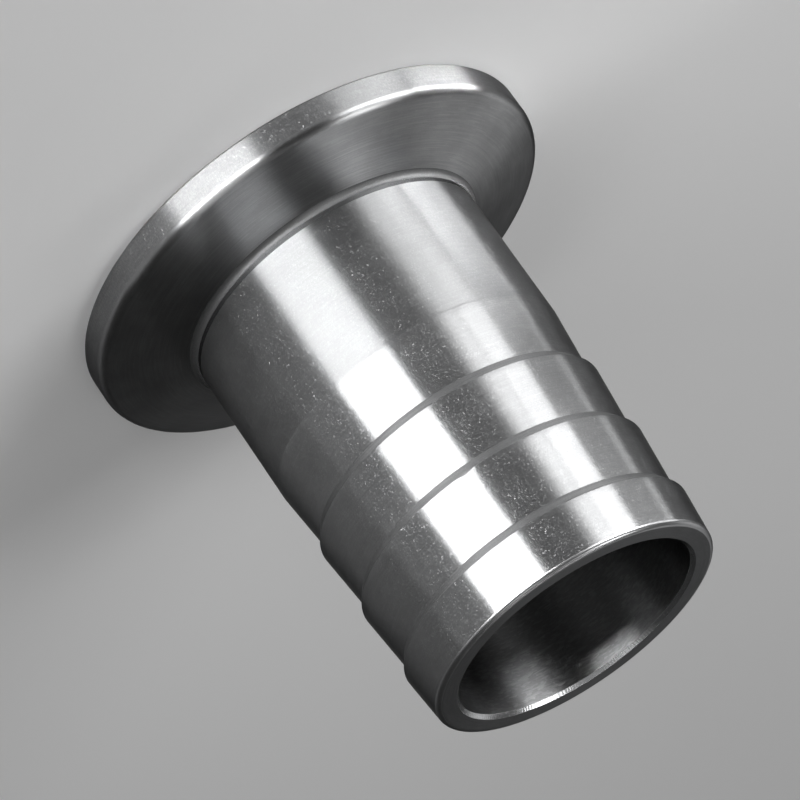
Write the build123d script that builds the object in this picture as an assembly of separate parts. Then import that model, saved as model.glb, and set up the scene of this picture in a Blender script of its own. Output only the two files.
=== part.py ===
from build123d import *
import os
from math import cos, radians, sin, tan

# KF25 flange hose adapter, turned from one bar of stainless steel.
# It stands on its sealing face: Z runs along the turning axis, from the flange to the hose end.
# Lengths are in mm. Z = 0 is the plane of the sealing face.

# Flange, as the quick-release flange standard gives it for size 25
flange_diameter = 40.0
rim_width = 2.1
rim_corner_radius = 0.8
rim_front_break = 0.2
clamp_cone_angle = 15.0

# Recess in the sealing face for the centring ring
recess_diameter = 26.2
recess_depth = 3.0
recess_mouth_break = 0.2

# Neck and hose end: the nose is the tapered stretch past the last barb
neck_diameter = 25.4
neck_root_radius = 1.1
overall_length = 40.0
nose_length = 4.15
nose_radius = 0.4

# Hose barbs: a long taper down to a root, a short steep shoulder up again, and a narrow crest land
barb_count = 3
barb_pitch = 6.12
barb_depth = 0.5
barb_shoulder_width = 0.85
crest_land = 0.08

# Bore
bore_diameter = 20.6
bore_edge_break = 0.3
bore_foot_break = 0.2

# Radii about the turning axis
rim_radius = flange_diameter / 2
neck_radius = neck_diameter / 2
bore_radius = bore_diameter / 2
recess_radius = recess_diameter / 2
root_radius = neck_radius - barb_depth

# Clamping cone: its surface leans back from the rim corner towards the neck
lean = radians(clamp_cone_angle)
corner_centre = (rim_radius - rim_corner_radius, rim_width)
cone_start = (
    corner_centre[0] + rim_corner_radius * sin(lean),
    corner_centre[1] + rim_corner_radius * cos(lean),
)
fillet_centre_radius = neck_radius + neck_root_radius
cone_end_radius = fillet_centre_radius - neck_root_radius * sin(lean)
cone_end = (cone_end_radius, cone_start[1] + (cone_start[0] - cone_end_radius) * tan(lean))
fillet_centre = (fillet_centre_radius, cone_end[1] + neck_root_radius * cos(lean))
neck_start = (neck_radius, fillet_centre[1])

# Middle of each rounded corner, halfway round its turn
half_turn = radians((90 + clamp_cone_angle) / 2)
corner_middle = (
    corner_centre[0] + rim_corner_radius * sin(half_turn),
    corner_centre[1] + rim_corner_radius * cos(half_turn),
)
fillet_middle = (
    fillet_centre[0] - neck_root_radius * sin(half_turn),
    fillet_centre[1] - neck_root_radius * cos(half_turn),
)

# Barb crests, counted up from the neck, and the taper that the barbs and the nose share
last_crest_height = overall_length - nose_length
crest_heights = [last_crest_height - barb_pitch * i for i in reversed(range(barb_count))]
neck_end_height = crest_heights[0] - barb_pitch
taper_slope = barb_depth / (barb_pitch - barb_shoulder_width)
nose_tip_radius = neck_radius - taper_slope * nose_length

# Half section of the outside, from the rim front to the hose end
rim_front = (rim_radius, rim_front_break)
rim_back = (rim_radius, rim_width)
outside = [Line((rim_radius - rim_front_break, 0), rim_front)]
outside.append(Line(rim_front, rim_back))
outside.append(ThreePointArc(rim_back, corner_middle, cone_start))
outside.append(Line(cone_start, cone_end))
outside.append(ThreePointArc(cone_end, fillet_middle, neck_start))
taper_start = (neck_radius, neck_end_height)
outside.append(Line(neck_start, taper_start))
for crest_height in crest_heights:
    root = (root_radius, crest_height - barb_shoulder_width)
    land_start = (neck_radius, crest_height - crest_land)
    land_end = (neck_radius, crest_height)
    outside.append(Line(taper_start, root))
    outside.append(Line(root, land_start))
    outside.append(Line(land_start, land_end))
    taper_start = land_end
nose_tip = (nose_tip_radius, overall_length)
outside.append(Line(taper_start, nose_tip))

# Half section of the inside, from the hose end back to the sealing face
end_edge = (bore_radius, overall_length)
recess_floor = (bore_radius, recess_depth)
recess_corner = (recess_radius, recess_depth)
recess_mouth = (recess_radius, 0)
inside = [Line(nose_tip, end_edge), Line(end_edge, recess_floor)]
inside.append(Line(recess_floor, recess_corner))
inside.append(Line(recess_corner, recess_mouth))
inside.append(Line(recess_mouth, (rim_radius - rim_front_break, 0)))


def at(point):
    """Gives the filter for the corner of the half section that lies at a point."""
    return lambda vertex: abs(vertex.X - point[0]) + abs(vertex.Y - point[1]) < 1e-4


# The nose is rounded, and the edges of the bore and the recess are broken, as a lathe leaves them
half_section = make_face(Wire(outside + inside))
half_section = fillet(half_section.vertices().filter_by(at(nose_tip)), nose_radius)
half_section = chamfer(half_section.vertices().filter_by(at(end_edge)), bore_edge_break)
half_section = chamfer(half_section.vertices().filter_by(at(recess_floor)), bore_foot_break)
half_section = chamfer(half_section.vertices().filter_by(at(recess_mouth)), recess_mouth_break)

# One turn of the half section about the axis gives the whole adapter
hose_adapter = revolve(Plane.XZ * half_section, axis=Axis.Z)

os.makedirs("parts", exist_ok=True)
export_step(hose_adapter, "parts/hose_adapter.step")
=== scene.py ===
import logging
from dataclasses import dataclass, fields, replace
from enum import Enum
from math import atan, cos, pi, radians, sin, tan
from typing import Any, Union

import bmesh
import bpy
from mathutils import Matrix, Vector


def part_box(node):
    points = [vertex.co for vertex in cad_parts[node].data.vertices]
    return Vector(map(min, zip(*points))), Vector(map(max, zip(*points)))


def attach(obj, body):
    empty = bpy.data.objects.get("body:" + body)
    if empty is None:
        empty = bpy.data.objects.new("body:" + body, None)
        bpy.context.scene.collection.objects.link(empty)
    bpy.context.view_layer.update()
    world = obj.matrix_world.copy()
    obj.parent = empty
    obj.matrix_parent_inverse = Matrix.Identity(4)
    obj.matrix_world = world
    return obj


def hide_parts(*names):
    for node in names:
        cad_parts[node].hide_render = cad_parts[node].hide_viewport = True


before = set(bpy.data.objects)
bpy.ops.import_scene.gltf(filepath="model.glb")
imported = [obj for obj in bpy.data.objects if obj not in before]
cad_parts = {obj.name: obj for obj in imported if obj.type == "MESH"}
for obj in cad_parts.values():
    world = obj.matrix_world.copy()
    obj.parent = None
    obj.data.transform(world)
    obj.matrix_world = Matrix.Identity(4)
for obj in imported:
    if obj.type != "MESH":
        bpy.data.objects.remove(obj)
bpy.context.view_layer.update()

MM = 0.001
NODE = "hose_adapter"

# The turned mesh: faces round one turn, and its fine sizes in metres and radians
TURN_STEPS = 360
WELD_DISTANCE = 0.002 * MM
EDGE_BREAK = 0.04 * MM
SHARP_ANGLE = radians(25)

# What every finish shares: the steel's tint face-on, and the dark tint at a glance that paints shade
# along its outline, only partly the steel's own dip there; the quarter turn that lays its highlights
# along the part, how fast a hairline changes per mm of its run, how far the chatter's phase drifts,
# and how strongly marks gather in the clouds
STEEL_TINT = (0.992, 1.0, 1.012)
PAINTED_GLANCE_SHADE = (0.15, 0.15, 0.15, 1.0)
QUARTER_TURN = 0.25
HAIR_CHANGE = 0.12
CHATTER_DRIFT = 12.0
CLOUD_PULL = 0.6

# Where the lamps close to the part point, in metres from the target: just above the flange, and at
# its rim
ABOVE_FLANGE = (0.0, 0.0, -0.0125)
AT_RIM = (-0.0158, -0.0123, -0.018)

log = logging.getLogger("hose_adapter")


class Field:
    """A node socket that works in Python expressions: each operator adds its Math node."""

    def __init__(self, maker: "NodeMaker", socket: bpy.types.NodeSocket) -> None:
        """Keeps the socket with the maker of its tree."""
        self.maker = maker
        self.socket = socket

    def __add__(self, other: "Value") -> "Field":
        """Adds a value."""
        return self.maker.math("ADD", self, other)

    def __radd__(self, other: "Value") -> "Field":
        """Adds itself to a value."""
        return self.maker.math("ADD", other, self)

    def __sub__(self, other: "Value") -> "Field":
        """Takes a value away."""
        return self.maker.math("SUBTRACT", self, other)

    def __rsub__(self, other: "Value") -> "Field":
        """Takes itself away from a value."""
        return self.maker.math("SUBTRACT", other, self)

    def __mul__(self, other: "Value") -> "Field":
        """Multiplies by a value."""
        return self.maker.math("MULTIPLY", self, other)

    def __rmul__(self, other: "Value") -> "Field":
        """Multiplies a value by itself."""
        return self.maker.math("MULTIPLY", other, self)

    def __truediv__(self, other: "Value") -> "Field":
        """Divides by a value."""
        return self.maker.math("DIVIDE", self, other)

    def __rtruediv__(self, other: "Value") -> "Field":
        """Divides a value by itself."""
        return self.maker.math("DIVIDE", other, self)


Value = Union[Field, float, int]
Place = tuple[Value, Value]


class NodeMaker:
    """Adds nodes to one tree and links them."""

    def __init__(self, tree: bpy.types.NodeTree) -> None:
        """Keeps the tree that the nodes go into."""
        self.tree = tree

    def node(self, kind: str, settings: dict[str, Any], inputs: dict[Any, Any]) -> bpy.types.Node:
        """Adds one node.

        Args:
            kind: The node's type name.
            settings: Its properties, set first.
            inputs: Values or fields for its sockets, by name or place.

        Returns:
            The node.
        """
        made = self.tree.nodes.new(kind)
        for name, value in settings.items():
            setattr(made, name, value)
        for name, value in inputs.items():
            self.feed(made.inputs[name], value)
        return made

    def feed(self, socket: bpy.types.NodeSocket, value: Any) -> None:
        """Links a field to an input socket, or writes a plain value there.

        Args:
            socket: The input socket.
            value: A field, or a plain value of the socket's kind.
        """
        if isinstance(value, Field):
            self.tree.links.new(value.socket, socket)
        else:
            socket.default_value = value

    def field(self, kind: str, settings: dict[str, Any], inputs: dict[Any, Any], output: Any = 0) -> Field:
        """Adds one node and gives one of its outputs.

        Args:
            kind: The node's type name.
            settings: Its properties.
            inputs: Values or fields for its sockets.
            output: Name or place of the output.

        Returns:
            That output.
        """
        return Field(self, self.node(kind, settings, inputs).outputs[output])

    def math(self, operation: str, *values: Value) -> Field:
        """Adds a Math node for one operation on its values."""
        return self.field("ShaderNodeMath", {"operation": operation}, dict(enumerate(values)))

    def vector(self, x: Value, y: Value, z: Value) -> Field:
        """Makes one vector of three values."""
        return self.field("ShaderNodeCombineXYZ", {}, {"X": x, "Y": y, "Z": z})

    def between(self, value: Field, low: float, high: float) -> Field:
        """Gives 0 at low, 1 at high and a smooth step from one to the other."""
        ends = {"Value": value, "From Min": low, "From Max": high}
        return self.field("ShaderNodeMapRange", {"interpolation_type": "SMOOTHSTEP"}, ends)

    def noise(self, x: Value, y: Value, z: Value, detail: float = 2.0) -> Field:
        """Gives a soft random pattern from 0 to 1, one unit from patch to patch."""
        inputs = {"Vector": self.vector(x, y, z), "Scale": 1.0, "Detail": detail}
        return self.field("ShaderNodeTexNoise", {}, inputs)

    def cells(self, x: Value, y: Value, z: Value) -> Field:
        """Gives each cell of a random pattern, one unit across, three random values as a colour."""
        inputs = {"Vector": self.vector(x, y, z), "Scale": 1.0}
        return self.field("ShaderNodeTexVoronoi", {}, inputs, "Color")

    def vector_math(self, operation: str, *values: Any, **named: Any) -> Field:
        """Adds a Vector Math node for one operation on its vectors."""
        inputs = {**dict(enumerate(values)), **named}
        return self.field("ShaderNodeVectorMath", {"operation": operation}, inputs)

    def split(self, vector: Field) -> list[Field]:
        """Takes a vector apart into its three values."""
        return [Field(self, out) for out in self.node("ShaderNodeSeparateXYZ", {}, {0: vector}).outputs]


class Along(Enum):
    """Which way the tool moved when it cut a surface, so where its lines lie beside each other."""

    AXIS = "axis"
    RADIUS = "radius"


@dataclass(frozen=True)
class Marks:
    """Tiny marks scattered over a surface: each is a cell of a random pattern.

    Sizes are in mm, round the part and across the tool's lines. Share tells how much of the surface
    they cover, tone how much lighter they are at most, and lean the largest slope.
    """

    round_size: float
    across_size: float
    share: float
    tone: float = 0.2
    lean: float = 0.1


@dataclass(frozen=True)
class TurnedFinish:
    """How one stretch of the turned steel was left by its tool. Lengths are in mm.

    Hairlines run round the part, one beside the other. Strokes are short lines left by the emery
    cloth, also round the part. Pits and scratches are dull, so they catch light from beside the
    highlights. Clouds are the broad uneven patches. Chatter is the tool's shallow wave round the
    part, with so many waves in a turn. Tones and grain are shares of the steel's grey.
    """

    name: str
    along: Along = Along.AXIS
    # The steel's grey; the fillet, nose, end face, bore and bore edge set it lower or higher to paint shade
    # or highlights
    grey: float = 0.31
    roughness: float = 0.3
    lengthwise: float = 1.0
    hair_pitch: float = 0.1
    hair_tone: float = 0.1
    strokes: Marks = Marks(0.8, 0.08, 0.5, 0.08, 0.006)
    pits: Marks = Marks(0.08, 0.095, 0.55, 0.6, 0.24)
    scratches: Marks = Marks(0.08, 1.0, 0.01)
    pit_roughness: float = 0.37
    pit_depth: float = 0.17
    grain: float = 0.06
    cloud_size: float = 3.0
    cloud_tone: float = 0.1
    chatter_count: int = 0
    chatter_depth: float = 0.0

    def material(self) -> bpy.types.Material:
        """Builds the finish.

        Returns:
            The material, which reads Object coordinates only.
        """
        made = bpy.data.materials.new(self.name)
        made.use_nodes = True
        made.node_tree.nodes.clear()
        maker = NodeMaker(made.node_tree)
        x, y, z = (part / MM for part in maker.split(maker.field("ShaderNodeTexCoord", {}, {}, "Object")))
        across = z if self.along is Along.AXIS else maker.math("SQRT", x * x + y * y)
        place = (x, y, across)
        hair = maker.noise(x * HAIR_CHANGE, y * HAIR_CHANGE, across / self.hair_pitch) - 0.5
        size = self.cloud_size
        cloud = maker.noise(x / size, y / size, z / size, detail=4.0) - 0.5
        grey = self.grey * (1 + hair * self.hair_tone * 2 + cloud * self.cloud_tone * 2)
        flat = maker.field("ShaderNodeNewGeometry", {}, {}, "Normal")
        if self.chatter_count:
            phase = maker.math("ARCTAN2", y, x) * self.chatter_count
            wave = maker.math("SINE", phase + maker.noise(x, y, 0.0) * CHATTER_DRIFT)
            inputs = {"Strength": 1.0, "Distance": MM, "Height": wave * self.chatter_depth}
            flat = maker.field("ShaderNodeBump", {}, inputs)
        stroked, lighter, leaning = self.scatter(maker, self.strokes, place, cloud, flat)
        pitted, pit_tone, pit_normal = self.scatter(maker, self.pits, place, cloud, flat)
        strength = pit_tone / self.pits.tone
        uneven = stroked * lighter + (strength - 0.5) * self.grain
        steel = self.metal(maker, grey * (1 + uneven), self.roughness, self.lengthwise, leaning)
        scratched, _, _ = self.scatter(maker, self.scratches, place, cloud, flat)
        dull = self.metal(maker, grey * (1 + pit_tone), self.pit_roughness, 0.0, pit_normal)
        depth = maker.math("MAXIMUM", pitted * strength, scratched)
        factor = depth * self.pit_depth
        mixed = maker.field("ShaderNodeMixShader", {}, {0: factor, 1: steel, 2: dull})
        maker.node("ShaderNodeOutputMaterial", {}, {"Surface": mixed})
        return made

    @staticmethod
    def scatter(
        maker: NodeMaker, marks: Marks, place: tuple[Field, Field, Field], cloud: Field, normal: Field
    ) -> tuple[Field, Field, Field]:
        """Scatters marks over the surface.

        Args:
            maker: The maker of the material's tree.
            marks: The marks.
            place: Where on the part, in mm: X, Y and the way across the tool's lines.
            cloud: The broad patches, where the marks lie closer or wider.
            normal: The normal under the marks.

        Returns:
            A mask of the marks, how much lighter the steel is there, and the leaning normal.
        """
        x, y, across = place
        colour = maker.cells(x / marks.round_size, y / marks.round_size, across / marks.across_size)
        strength, _, order = maker.split(colour)
        mask = maker.math("GREATER_THAN", order + cloud * CLOUD_PULL, 1 - marks.share)
        settings = {"noise_dimensions": "3D"}
        chance = maker.field("ShaderNodeTexWhiteNoise", settings, {"Vector": colour}, "Color")
        side = maker.vector_math("MULTIPLY_ADD", chance, (2.0, 2.0, 2.0), (-1.0, -1.0, -1.0))
        slope = maker.vector_math("SCALE", side, Scale=mask * marks.lean)
        leaning = maker.vector_math("NORMALIZE", maker.vector_math("ADD", normal, slope))
        return mask, strength * marks.tone, leaning

    @staticmethod
    def metal(maker: NodeMaker, grey: Field, roughness: float, lengthwise: float, normal: Field) -> Field:
        """Adds the shader of bare stainless steel.

        Args:
            maker: The maker of the material's tree.
            grey: How light the steel is.
            roughness: The shader's roughness.
            lengthwise: How much more the highlights spread along the part than round it, 0 to 1.
            normal: The surface normal.

        Returns:
            The shader.
        """
        level = maker.vector(grey, grey, grey)
        return maker.field("ShaderNodeBsdfPrincipled", {}, {
            "Base Color": maker.vector_math("MULTIPLY", level, STEEL_TINT),
            "Metallic": 1.0,
            "Roughness": roughness,
            # The dark tint at a glance is painted shade along the steel's outline
            "Specular Tint": PAINTED_GLANCE_SHADE,
            "Anisotropic": lengthwise,
            "Anisotropic Rotation": QUARTER_TURN,
            "Normal": normal,
        })


class Zone(Enum):
    """The stretches of the adapter that differ in finish, and in the painted shade or highlights that some
    of their greys carry.
    """

    RIM = TurnedFinish(
        "rim_finish", roughness=0.34, pits=Marks(0.08, 0.15, 0.55, 0.7, 0.3), grain=0.15,
        scratches=Marks(0.07, 1.0, 0.02),
    )
    CORNER = TurnedFinish("corner_finish", roughness=0.28, lengthwise=0.95, pits=Marks(0.1, 0.12, 0.1))
    CONE = TurnedFinish(
        "cone_finish", Along.RADIUS, lengthwise=0.88, hair_tone=0.12, cloud_tone=0.2,
        pits=Marks(0.1, 0.1, 0.03), strokes=Marks(2.0, 0.09, 0.5, 0.12, 0.01),
    )
    # The fillet's grey is far below the steel's: painted shade in the crease, which also dims the lamps'
    # highlight there
    FILLET = TurnedFinish("fillet_finish_painted_shade", grey=0.13, roughness=0.58, lengthwise=0.0)
    ROOT = TurnedFinish("root_finish", roughness=0.24, lengthwise=0.2, pits=Marks(0.08, 0.08, 0.2))
    NECK = TurnedFinish(
        "neck_finish", roughness=0.36, hair_tone=0.06, strokes=Marks(1.2, 0.08, 0.5, 0.06, 0.01),
        pits=Marks(0.085, 0.11, 0.5, 0.6, 0.27), scratches=Marks(0.06, 1.2, 0.02),
    )
    BARB = TurnedFinish("barb_finish", roughness=0.28)
    SHOULDER = TurnedFinish(
        "shoulder_finish", roughness=0.5, lengthwise=0.8, hair_tone=0.25, hair_pitch=0.18
    )
    # The nose's grey is above the steel's: a painted highlight along its rounded edge
    NOSE = TurnedFinish("nose_finish_painted_highlight", grey=0.4, lengthwise=0.0, pits=Marks(0.1, 0.12, 0.1))
    # The end face's grey is well below the steel's: painted shade over the whole face
    END = TurnedFinish(
        "end_finish_painted_shade", Along.RADIUS, grey=0.2, roughness=0.4, lengthwise=0.3, pits=Marks(0.1, 0.1, 0.1)
    )
    # The bore's grey is a little below the steel's: slight painted shade inside the bore
    BORE = TurnedFinish(
        "bore_finish_painted_shade", grey=0.29, roughness=0.35, lengthwise=0.9, strokes=Marks(0.5, 0.12, 0.6, 0.3, 0.035),
        pits=Marks(0.12, 0.14, 0.35, 0.4, 0.2),
    )
    # The chamfer's grey is well above the steel's: partly its freshly cut face, partly a painted glint along
    # the bore's edge
    BORE_EDGE = TurnedFinish(
        "bore_edge_finish_painted_glint", grey=0.5, roughness=0.24, lengthwise=0.0, chatter_count=240, chatter_depth=0.0015
    )
    FACE = TurnedFinish("sealing_finish", Along.RADIUS, lengthwise=0.3)


@dataclass(frozen=True)
class Dent:
    """The small dent from use on a crest. Lengths in mm, turn in degrees from the camera's side.

    Depth tells how far the metal is pressed in, and push how far it is pushed up the axis.
    """

    radius: float
    height: float
    turn: float = 0.8
    width: float = 2.0
    tall: float = 0.6
    depth: float = 0.03
    push: float = 0.12


class Lathe:
    """Builds the Geometry Nodes tree that turns a half section about the Z axis, one cut at a time."""

    def __init__(self, name: str, turn_steps: int) -> None:
        """Starts an empty tree.

        Args:
            name: The tree's name.
            turn_steps: Faces round one turn.
        """
        self.tree = bpy.data.node_groups.new(name, "GeometryNodeTree")
        self.maker = NodeMaker(self.tree)
        self.tree.interface.new_socket("Geometry", in_out="OUTPUT", socket_type="NodeSocketGeometry")
        self.entry = self.tree.nodes.new("NodeGroupInput")
        self.values: dict[str, float] = {}
        self.path_radius = self.size("Path Radius", 10 * MM)
        self.path = self.maker.field(
            "GeometryNodeCurvePrimitiveCircle", {}, {"Resolution": turn_steps, "Radius": self.path_radius}
        )
        self.cuts: list[Field] = []
        self.dents: list[Dent] = []

    def size(self, name: str, value: float) -> Field:
        """Adds a named input to the tree.

        Args:
            name: The size's name, as the modifier shows it.
            value: The size in metres, or a plain number.

        Returns:
            The size as a field.
        """
        item = self.tree.interface.new_socket(name, in_out="INPUT", socket_type="NodeSocketFloat")
        self.values[item.identifier] = value
        return Field(self.maker, self.entry.outputs[name])

    def point(self, place: Place) -> Field:
        """Gives a point of the half section, as the sweep round the path wants it."""
        radius, height = place
        return self.maker.vector(radius - self.path_radius, 0 - height, 0.0)

    def turn(self, curve: Field, zone: Zone) -> Field:
        """Sweeps a curve round the axis and marks the faces with their zone.

        Args:
            curve: The cut, drawn as a curve.
            zone: The finish that it leaves.

        Returns:
            The cut surface.
        """
        mesh = self.maker.field("GeometryNodeCurveToMesh", {}, {"Curve": self.path, "Profile Curve": curve})
        settings = {"data_type": "INT", "domain": "FACE"}
        number = list(Zone).index(zone)
        inputs = {"Geometry": mesh, "Name": "zone", "Value": number}
        return self.maker.field("GeometryNodeStoreNamedAttribute", settings, inputs)

    def straight(self, zone: Zone, steps: int, start: Place, end: Place) -> Field:
        """Makes a straight cut.

        Args:
            zone: The finish that the cut leaves.
            steps: Faces along the cut.
            start: Radius and height of its start.
            end: Radius and height of its end.

        Returns:
            The cut surface.
        """
        line = self.maker.field(
            "GeometryNodeCurvePrimitiveLine", {}, {"Start": self.point(start), "End": self.point(end)}
        )
        curve = self.maker.field("GeometryNodeResampleCurve", {}, {"Curve": line, "Count": steps + 1})
        return self.turn(curve, zone)

    def round(
        self, zone: Zone, steps: int, centre: Place, radius: Field, start: float, end: float
    ) -> Field:
        """Makes a round cut.

        Args:
            zone: The finish that the cut leaves.
            steps: Faces along the cut.
            centre: Radius and height of the arc's centre.
            radius: The arc's own radius.
            start: Where it starts, as an angle above the outward direction.
            end: Where it ends.

        Returns:
            The cut surface.
        """
        places = []
        for angle in (start, (start + end) / 2, end):
            places.append(self.point((centre[0] + radius * cos(angle), centre[1] + radius * sin(angle))))
        arc = self.maker.field("GeometryNodeCurveArc", {"mode": "POINTS"}, {
            "Resolution": steps + 1,
            "Start": places[0],
            "Middle": places[1],
            "End": places[2],
        })
        return self.turn(arc, zone)

    def repeat(self, cuts: list[Field], count: int, first: Value, pitch: Value) -> Field:
        """Repeats some cuts up the axis.

        Args:
            cuts: The cuts, drawn from height 0.
            count: How many times they come.
            first: Height of the first.
            pitch: From one to the next.

        Returns:
            All copies together.
        """
        group = self.join(cuts)
        points = self.maker.field("GeometryNodeMeshLine", {}, {
            "Count": count,
            "Start Location": self.maker.vector(0.0, 0.0, first),
            "Offset": self.maker.vector(0.0, 0.0, pitch),
        })
        return self.maker.field("GeometryNodeInstanceOnPoints", {}, {"Points": points, "Instance": group})

    def join(self, parts: list[Field]) -> Field:
        """Puts several surfaces into one.

        Args:
            parts: The surfaces.

        Returns:
            All of them as one geometry.
        """
        joined = self.maker.node("GeometryNodeJoinGeometry", {}, {})
        for part in parts:
            self.tree.links.new(part.socket, joined.inputs["Geometry"])
        return Field(self.maker, joined.outputs["Geometry"])

    def press(self, skin: Field, dent: Dent) -> Field:
        """Presses a dent into the skin.

        Args:
            skin: The closed surface.
            dent: The dent.

        Returns:
            The surface with the dent.
        """
        maker = self.maker
        turn = radians(dent.turn)
        out = (sin(turn), -cos(turn), 0.0)
        middle = tuple(dent.radius * MM * part for part in out[:2]) + (dent.height * MM,)
        depth = self.size("Dent Depth", dent.depth * MM)
        place = maker.field("GeometryNodeInputPosition", {}, {})
        apart = maker.vector_math("SUBTRACT", place, middle)
        shape = (2 / MM / dent.width, 2 / MM / dent.width, 2 / MM / dent.tall)
        away = maker.vector_math("MULTIPLY", apart, shape)
        gone = maker.field("ShaderNodeVectorMath", {"operation": "LENGTH"}, {0: away}, "Value")
        share = maker.between(gone, 1.0, 0.0)
        way = (-out[0], -out[1], dent.push / dent.depth)
        offset = maker.vector_math("SCALE", way, Scale=share * depth)
        return maker.field("GeometryNodeSetPosition", {}, {"Geometry": skin, "Offset": offset})

    def finish(self, materials: dict[Zone, bpy.types.Material]) -> None:
        """Welds the cuts into one closed skin and gives each zone its material.

        Args:
            materials: The material of each zone.
        """
        maker = self.maker
        real = maker.field("GeometryNodeRealizeInstances", {}, {"Geometry": self.join(self.cuts)})
        inputs = {"Geometry": real, "Distance": WELD_DISTANCE}
        welded = maker.field("GeometryNodeMergeByDistance", {}, inputs)
        skin = maker.field("GeometryNodeFlipFaces", {}, {"Mesh": welded})
        for dent in self.dents:
            skin = self.press(skin, dent)
        skin = maker.field("GeometryNodeSetShadeSmooth", {}, {"Geometry": skin})
        mark = maker.field("GeometryNodeInputNamedAttribute", {"data_type": "INT"}, {"Name": "zone"})
        for number, zone in enumerate(Zone):
            chosen = maker.field(
                "FunctionNodeCompare", {"data_type": "INT", "operation": "EQUAL"}, {2: mark, 3: number}
            )
            inputs = {"Geometry": skin, "Selection": chosen, "Material": materials[zone]}
            skin = maker.field("GeometryNodeSetMaterial", {}, inputs)
        maker.node("NodeGroupOutput", {}, {0: skin})

    def mesh(self, name: str) -> bpy.types.Object:
        """Runs the tree.

        Args:
            name: The new object's name.

        Returns:
            A plain mesh object with the tree's result.
        """
        carrier = bpy.data.objects.new(name + "_lathe", bpy.data.meshes.new(name + "_lathe"))
        bpy.context.scene.collection.objects.link(carrier)
        turned = carrier.modifiers.new("lathe", "NODES")
        turned.node_group = self.tree
        for identifier, value in self.values.items():
            turned[identifier] = value
        edges = carrier.modifiers.new("edge_break", "BEVEL")
        edges.width = EDGE_BREAK
        edges.segments = 2
        edges.limit_method = "ANGLE"
        edges.angle_limit = SHARP_ANGLE
        edges.harden_normals = True
        shown = carrier.evaluated_get(bpy.context.evaluated_depsgraph_get())
        mesh = bpy.data.meshes.new_from_object(shown)
        bpy.data.objects.remove(carrier)
        mesh.name = name
        made = bpy.data.objects.new(name, mesh)
        bpy.context.scene.collection.objects.link(made)
        return made


@dataclass(frozen=True)
class Flange:
    """The clamping flange with its rim, its cone and the recess in the sealing face. Lengths in mm."""

    rim_radius: float
    rim_width: float = 2.1
    corner_radius: float = 0.8
    front_break: float = 0.2
    cone_angle: float = 15.0
    root_fillet: float = 0.6
    recess_radius: float = 13.1
    recess_depth: float = 3.0


@dataclass(frozen=True)
class Spigot:
    """The neck and the barbed hose end with its bore. Lengths in mm."""

    length: float
    neck_radius: float = 12.7
    root_line: float = 5.5
    finish_line: float = 17.3
    nose_length: float = 4.15
    nose_radius: float = 0.4
    barb_count: int = 3
    barb_pitch: float = 6.12
    barb_depth: float = 0.5
    shoulder_width: float = 0.85
    crest_land: float = 0.08
    bore_radius: float = 10.3
    bore_edge: float = 0.3
    bore_foot: float = 0.2


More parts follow.
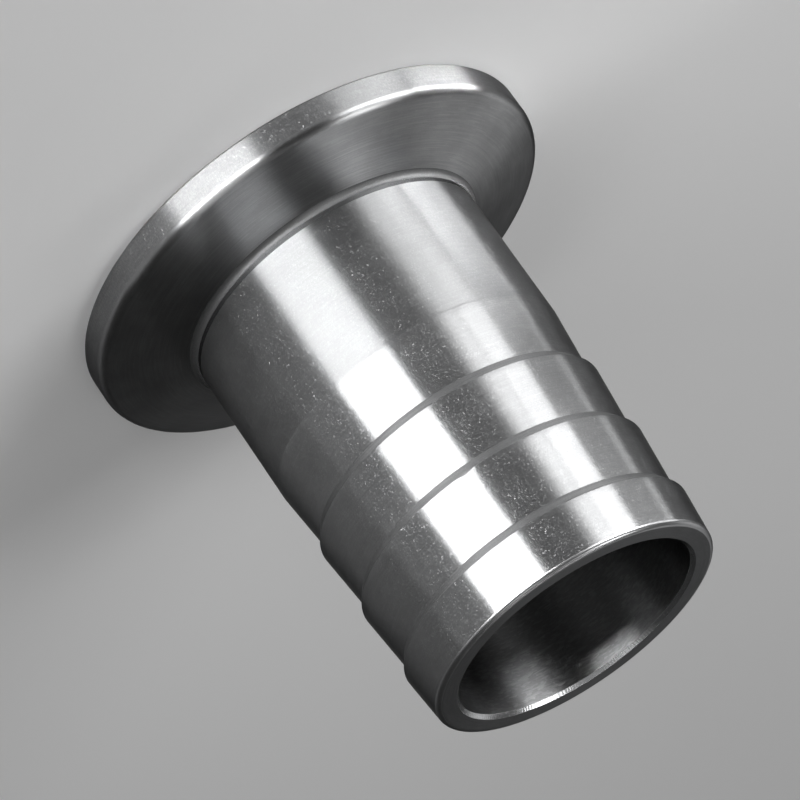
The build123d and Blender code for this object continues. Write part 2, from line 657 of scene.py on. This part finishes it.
class HoseAdapter:
    """The whole adapter: one piece, turned from one bar."""

    def __init__(self, flange: Flange, spigot: Spigot) -> None:
        """Keeps the sizes of the two ends."""
        self.flange = flange
        self.spigot = spigot

    def build(self) -> bpy.types.Object:
        """Turns the adapter and dresses it.

        Returns:
            The finished object.
        """
        lathe = Lathe("adapter_lathe", TURN_STEPS)
        sizes: dict[str, Field] = {}
        for part in (self.flange, self.spigot):
            for item in fields(part):
                value = getattr(part, item.name)
                if isinstance(value, float) and item.name != "cone_angle":
                    sizes[item.name] = lathe.size(item.name.replace("_", " ").title(), value * MM)
        self.cut_flange(lathe, sizes)
        self.cut_spigot(lathe, sizes)
        self.cut_inside(lathe, sizes)
        second_crest = self.spigot.length - self.spigot.nose_length - self.spigot.barb_pitch
        lathe.dents.append(Dent(self.spigot.neck_radius, second_crest))
        lathe.finish({zone: zone.value.material() for zone in Zone})
        return lathe.mesh("turned_adapter")

    def cut_flange(self, lathe: Lathe, s: dict[str, Field]) -> None:
        """Cuts the rim, its corner, the cone, the fillet at the neck's root and the plain neck.

        Args:
            lathe: The lathe that the cuts go to.
            s: Every size of both ends as a named input.
        """
        lean = radians(self.flange.cone_angle)
        corner = (s["rim_radius"] - s["corner_radius"], s["rim_width"])
        cone_start = (corner[0] + s["corner_radius"] * sin(lean), corner[1] + s["corner_radius"] * cos(lean))
        fillet_radius = s["neck_radius"] + s["root_fillet"]
        cone_end_radius = fillet_radius - s["root_fillet"] * sin(lean)
        cone_end = (cone_end_radius, cone_start[1] + (cone_start[0] - cone_end_radius) * tan(lean))
        fillet = (fillet_radius, cone_end[1] + s["root_fillet"] * cos(lean))
        front = s["rim_radius"] - s["front_break"]
        rim = s["rim_radius"]
        lathe.cuts += [
            lathe.straight(Zone.RIM, 1, (front, 0.0), (rim, s["front_break"])),
            lathe.straight(Zone.RIM, 6, (rim, s["front_break"]), (rim, s["rim_width"])),
            lathe.round(Zone.CORNER, 10, corner, s["corner_radius"], 0.0, pi / 2 - lean),
            lathe.straight(Zone.CONE, 8, cone_start, cone_end),
            lathe.round(Zone.FILLET, 10, fillet, s["root_fillet"], -pi / 2 - lean, -pi),
            lathe.straight(Zone.ROOT, 2, (s["neck_radius"], fillet[1]), (s["neck_radius"], s["root_line"])),
            lathe.straight(
                Zone.NECK, 10, (s["neck_radius"], s["root_line"]), (s["neck_radius"], s["finish_line"])
            ),
        ]

    def cut_spigot(self, lathe: Lathe, s: dict[str, Field]) -> None:
        """Cuts the barbs, the tapered nose, its rounded edge and the end face.

        Args:
            lathe: The lathe that the cuts go to.
            s: Every size of both ends as a named input.
        """
        crest = s["neck_radius"]
        root = crest - s["barb_depth"]
        root_height = s["barb_pitch"] - s["shoulder_width"]
        land_height = s["barb_pitch"] - s["crest_land"]
        barb = [
            lathe.straight(Zone.BARB, 10, (crest, 0.0), (root, root_height)),
            lathe.straight(Zone.SHOULDER, 4, (root, root_height), (crest, land_height)),
            lathe.straight(Zone.BARB, 1, (crest, land_height), (crest, s["barb_pitch"])),
        ]
        count = self.spigot.barb_count
        last_crest = s["length"] - s["nose_length"]
        first = last_crest - s["barb_pitch"] * count
        lathe.cuts.append(lathe.straight(Zone.BARB, 2, (crest, s["finish_line"]), (crest, first)))
        lathe.cuts.append(lathe.repeat(barb, count, first, s["barb_pitch"]))
        size = self.spigot
        slope = size.barb_depth / (size.barb_pitch - size.shoulder_width)
        lean = atan(slope)
        centre_height = s["length"] - s["nose_radius"]
        tip = crest - s["nose_length"] * slope
        centre_radius = tip - s["nose_radius"] * ((1 - sin(lean)) / cos(lean))
        end_radius = centre_radius + s["nose_radius"] * cos(lean)
        nose_end = (end_radius, centre_height + s["nose_radius"] * sin(lean))
        nose = (centre_radius, centre_height)
        lathe.cuts += [
            lathe.straight(Zone.BARB, 8, (crest, last_crest), nose_end),
            lathe.round(Zone.NOSE, 8, nose, s["nose_radius"], lean, pi / 2),
            lathe.straight(
                Zone.END, 6, (centre_radius, s["length"]), (s["bore_radius"] + s["bore_edge"], s["length"])
            ),
        ]

    def cut_inside(self, lathe: Lathe, s: dict[str, Field]) -> None:
        """Cuts the bore, the recess for the centring ring and the sealing face.

        Args:
            lathe: The lathe that the cuts go to.
            s: Every size of both ends as a named input.
        """
        bore = s["bore_radius"]
        recess = s["recess_radius"]
        depth = s["recess_depth"]
        mouth = s["front_break"]
        chain = [
            (Zone.BORE_EDGE, 2, (bore + s["bore_edge"], s["length"])),
            (Zone.BORE, 30, (bore, s["length"] - s["bore_edge"])),
            (Zone.CORNER, 1, (bore, depth + s["bore_foot"])),
            (Zone.FACE, 4, (bore + s["bore_foot"], depth)),
            (Zone.FACE, 4, (recess, depth)),
            (Zone.FACE, 1, (recess, mouth)),
            (Zone.FACE, 8, (recess + mouth, 0.0)),
            (Zone.FACE, 1, (s["rim_radius"] - s["front_break"], 0.0)),
        ]
        for (zone, steps, start), (_, _, end) in zip(chain, chain[1:]):
            lathe.cuts.append(lathe.straight(zone, steps, start, end))


@dataclass(frozen=True)
class SoftBox:
    """A flat soft lamp, placed by what the adapter sees of it. Angles in degrees, distance in metres.

    Azimuth 0 is the camera's side and grows to its right. The lamp is full from start to full_end,
    and fades out at fade_end. Aim tells how far from the target it points, in metres. A grid in
    front of it narrows its spread.
    """

    name: str
    start: float
    full_end: float
    low: float
    high: float
    distance: float
    radiance: float
    fade_end: float | None = None
    aim: tuple[float, float, float] = (0.0, 0.0, 0.0)
    spread: float = 180.0

    def row(self, count: int) -> list["SoftBox"]:
        """Repeats the lamp side by side, so that each panel of a wide lamp is square to its target.

        Args:
            count: How many panels the row has.

        Returns:
            The panels, of which the first stands where this lamp does.
        """
        width = self.full_end - self.start
        panels = []
        for number in range(count):
            start = self.start + width * number
            name = "%s_%d" % (self.name, number)
            panels.append(replace(self, name=name, start=start, full_end=start + width))
        return panels

    def place(self, target: Vector) -> bpy.types.Object:
        """Sets the lamp up, square to the line from the target to its middle.

        Args:
            target: The point that it faces.

        Returns:
            The lamp.
        """
        target = target + Vector(self.aim)
        last = self.full_end if self.fade_end is None else self.fade_end
        side, rise = radians((self.start + last) / 2), radians((self.low + self.high) / 2)
        half_width = tan(radians(abs(last - self.start) / 2))
        half_height = tan(radians((self.high - self.low) / 2))
        out = Vector((sin(side) * cos(rise), -cos(side) * cos(rise), sin(rise)))
        lamp = bpy.data.lights.new(self.name, "AREA")
        lamp.shape = "RECTANGLE"
        lamp.size = 2 * half_width * self.distance * cos(rise)
        lamp.size_y = 2 * half_height * self.distance
        lamp.spread = radians(self.spread)
        # A grid gathers the lamp's light straight ahead, where it then needs only this share of it
        needed = 1 - lamp.spread / 2 / tan(lamp.spread / 2)
        lamp.energy = self.radiance * pi * lamp.size * lamp.size_y * needed
        if self.fade_end is not None:
            self.fade(lamp, half_width)
        across = Vector((cos(side), sin(side), 0.0))
        turned = Matrix((across, out.cross(across), out)).transposed().to_4x4()
        made = bpy.data.objects.new(self.name, lamp)
        made.matrix_world = Matrix.Translation(target + out * self.distance) @ turned
        made.visible_camera = False
        bpy.context.scene.collection.objects.link(made)
        return made

    def fade(self, lamp: bpy.types.Light, half_width: float) -> None:
        """Lets the lamp's light fall off towards its fading edge.

        Args:
            lamp: The lamp's data.
            half_width: Half its width, one metre away.
        """
        lamp.use_nodes = True
        maker = NodeMaker(lamp.node_tree)
        place = maker.node("ShaderNodeSeparateXYZ", {}, {
            0: maker.field("ShaderNodeNewGeometry", {}, {}, "Parametric")
        })
        middle = (self.start + self.fade_end) / 2
        edge = 0.5 + tan(radians(self.full_end - middle)) / half_width / 2
        far = 1.0 if self.fade_end > self.start else 0.0
        level = maker.between(Field(maker, place.outputs["X"]), far, edge)
        emission = lamp.node_tree.nodes["Emission"]
        maker.feed(emission.inputs["Strength"], level)


@dataclass(frozen=True)
class Viewpoint:
    """Where the photograph was taken from, read off its circles. Lengths in mm, angles in degrees."""

    distance: float = 332.7
    elevation: float = 24.11
    target_height: float = 19.23
    roll: float = 145.0
    turn_right: float = -0.433
    turn_up: float = 0.312
    lens: float = 194.1

    def place(self) -> bpy.types.Object:
        """Makes the scene's camera.

        Returns:
            The camera.
        """
        rise, roll = radians(self.elevation), radians(self.roll)
        back = Vector((0.0, -cos(rise), sin(rise)))
        right = Vector((1.0, 0.0, 0.0))
        up = back.cross(right)
        across = cos(roll) * right + sin(roll) * up
        upward = cos(roll) * up - sin(roll) * right
        aim = -back
        side, lift = radians(self.turn_right), radians(self.turn_up)
        frame_right = cos(side) * across - sin(side) * aim
        aim = sin(side) * across + cos(side) * aim
        frame_up = cos(lift) * upward - sin(lift) * aim
        aim = sin(lift) * upward + cos(lift) * aim
        turned = Matrix((frame_right, frame_up, -aim)).transposed().to_4x4()
        target = Vector((0.0, 0.0, self.target_height * MM))
        lens = bpy.data.cameras.new("photograph_view")
        lens.lens = self.lens
        lens.clip_end = 10.0
        made = bpy.data.objects.new("photograph_view", lens)
        made.matrix_world = Matrix.Translation(target + back * self.distance * MM) @ turned
        bpy.context.scene.collection.objects.link(made)
        bpy.context.scene.camera = made
        return made


@dataclass(frozen=True)
class Studio:
    """A plain pale floor that curves up into a low wall, soft lamps and a plain world. Metres.

    The key lamp, the side lamp and the two low ones are rows of panels, each square to what it
    lights, so that their grids keep the light off the floor.
    """

    floor_radius: float = 0.9
    cove_radius: float = 0.12
    wall_height: float = 0.16
    cove_steps: int = 12
    round_steps: int = 96
    floor_grey: float = 0.8
    floor_roughness: float = 0.6
    world_grey: float = 0.04
    lamps: tuple[SoftBox, ...] = (
        *SoftBox("key_lamp", -4, 2, -2.8, 8, distance=0.4, radiance=36.0, spread=40).row(7),
        SoftBox("faint_lamp", 40, 74, -2.8, 20, distance=0.4, radiance=0.45),
        *SoftBox("side_lamp", -77.5, -71.5, -2.8, 17, distance=0.4, radiance=16.0, spread=50).row(2),
        SoftBox("side_lamp_2", -65.5, -59, -2.8, 17, distance=0.4, radiance=16.0, spread=50),
        SoftBox(
            "side_lamp_3", -59, -56, -2.8, 17, distance=0.4, radiance=16.0, fade_end=-36, spread=50
        ),
        SoftBox("far_side_lamp", -112, -79, -2.8, 14, distance=0.4, radiance=2.0),
        SoftBox("edge_lamp", -112, -105, -2.8, 8, distance=0.4, radiance=4.0),
        SoftBox("rear_side_lamp", -150, -122, 6, 30, distance=0.5, radiance=0.9),
        SoftBox("high_side_lamp", -95, -60, 48, 61, distance=0.6, radiance=7.0),
        SoftBox("high_key_lamp", 8, 48, 58, 66, distance=0.6, radiance=3.0),
        SoftBox("back_lamp", 178, 212, 15, 45, distance=0.5, radiance=0.65),
        SoftBox("overhead_lamp", 150, 240, 69.5, 72.5, distance=0.8, radiance=6.0),
        SoftBox("top_lamp", -60, 60, 60, 85, distance=0.8, radiance=0.25),
        *SoftBox(
            "low_lamp", -104, -99, -6, 6, distance=0.07, radiance=78.0, aim=ABOVE_FLANGE, spread=20
        ).row(6),
        *SoftBox(
            "rim_lamp", -115, -108, -1.5, 1.5, distance=0.055, radiance=155.0, aim=AT_RIM, spread=9
        ).row(5),
    )

    def floor(self) -> bpy.types.Object:
        """Builds the floor with its cove and wall.

        Returns:
            The floor.
        """
        outline = [(0.0, 0.0)]
        for step in range(self.cove_steps + 1):
            angle = pi / 2 * step / self.cove_steps
            outline.append((
                self.floor_radius + self.cove_radius * sin(angle),
                self.cove_radius * (1 - cos(angle)),
            ))
        outline.append((self.floor_radius + self.cove_radius, self.wall_height))
        shape = bmesh.new()
        verts = [shape.verts.new((radius, 0.0, height)) for radius, height in outline]
        edges = [shape.edges.new(pair) for pair in zip(verts, verts[1:])]
        turn = {"angle": 2 * pi, "steps": self.round_steps, "axis": (0, 0, 1), "cent": (0, 0, 0)}
        bmesh.ops.spin(shape, geom=verts + edges, **turn)
        bmesh.ops.remove_doubles(shape, verts=shape.verts, dist=1e-5)
        bmesh.ops.recalc_face_normals(shape, faces=shape.faces)
        for face in shape.faces:
            face.smooth = True
        mesh = bpy.data.meshes.new("studio_floor")
        shape.to_mesh(mesh)
        shape.free()
        made = bpy.data.objects.new("studio_floor", mesh)
        bpy.context.scene.collection.objects.link(made)
        paint = bpy.data.materials.new("pale_floor")
        paint.use_nodes = True
        shader = paint.node_tree.nodes["Principled BSDF"]
        shader.inputs["Base Color"].default_value = (self.floor_grey,) * 3 + (1.0,)
        shader.inputs["Roughness"].default_value = self.floor_roughness
        mesh.materials.append(paint)
        return made

    def world(self) -> None:
        """Gives the scene a plain grey world."""
        made = bpy.data.worlds.new("plain_world")
        made.use_nodes = True
        background = made.node_tree.nodes["Background"]
        background.inputs["Color"].default_value = (self.world_grey,) * 3 + (1.0,)
        bpy.context.scene.world = made

    def build(self, target: Vector) -> None:
        """Builds the floor, the world and the lamps.

        Args:
            target: The point that the lamps are set round.
        """
        self.floor()
        self.world()
        for lamp in self.lamps:
            lamp.place(target)


def main() -> None:
    logging.basicConfig(level=logging.INFO, format="%(message)s")
    low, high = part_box(NODE)
    flange = Flange(rim_radius=(high.x - low.x) / 2 / MM)
    spigot = Spigot(length=(high.z - low.z) / MM)
    adapter = HoseAdapter(flange, spigot).build()
    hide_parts(NODE)
    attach(adapter, "root")
    log.info("%s: %d faces", adapter.name, len(adapter.data.polygons))
    Studio().build(Vector((0.0, 0.0, high.z / 2)))
    Viewpoint().place()
    scene = bpy.context.scene
    scene.view_settings.view_transform = "Standard"


if __name__ == "__main__":
    main()
